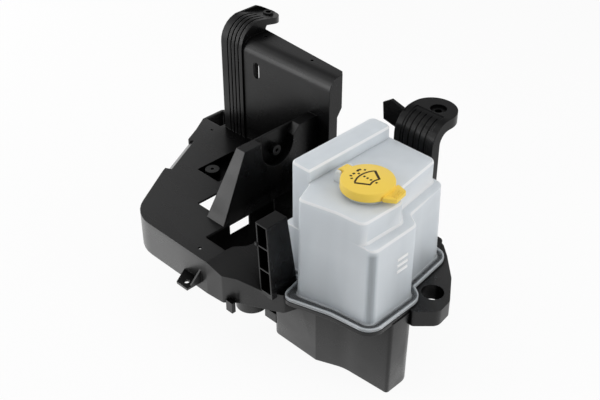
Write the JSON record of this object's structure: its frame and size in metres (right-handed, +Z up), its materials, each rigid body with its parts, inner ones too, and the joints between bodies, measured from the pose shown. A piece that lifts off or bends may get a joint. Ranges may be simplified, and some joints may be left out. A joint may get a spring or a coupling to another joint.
{
  "type": "washer fluid reservoir",
  "caption": "Screen washer tank: translucent upper half welded on a black moulded carrier with sump, deck, panel, ribbed hook arms and fixing ear, closed by a hinged yellow filler cap.",
  "frame": {"origin": "centre of the fixing ear's bore at the ear's top face", "axes": "+Z up along the ear's bore; +X from the deck towards the tank; +Y from the open front towards the tall panel"},
  "size_m": [0.4543, 0.3025, 0.2795],
  "materials": {
    "carrier": "satin moulded, fine grain",
    "tank": "translucent, satin",
    "cap": "satin moulded",
    "seal": "matte"
  },
  "bodies": {
    "reservoir": {"carrier": "carrier", "tank_upper": "tank", "pump_grommet": "seal"},
    "cap": {"filler_cap": "cap"}
  },
  "joints": [
    {"name": "cap_hinge", "type": "hinge", "parent": "reservoir", "child": "cap", "pos_m": [-0.0891, -0.0493, 0.1395], "axis": [0, -1, 0], "range_deg": [0, 110]}
  ]
}
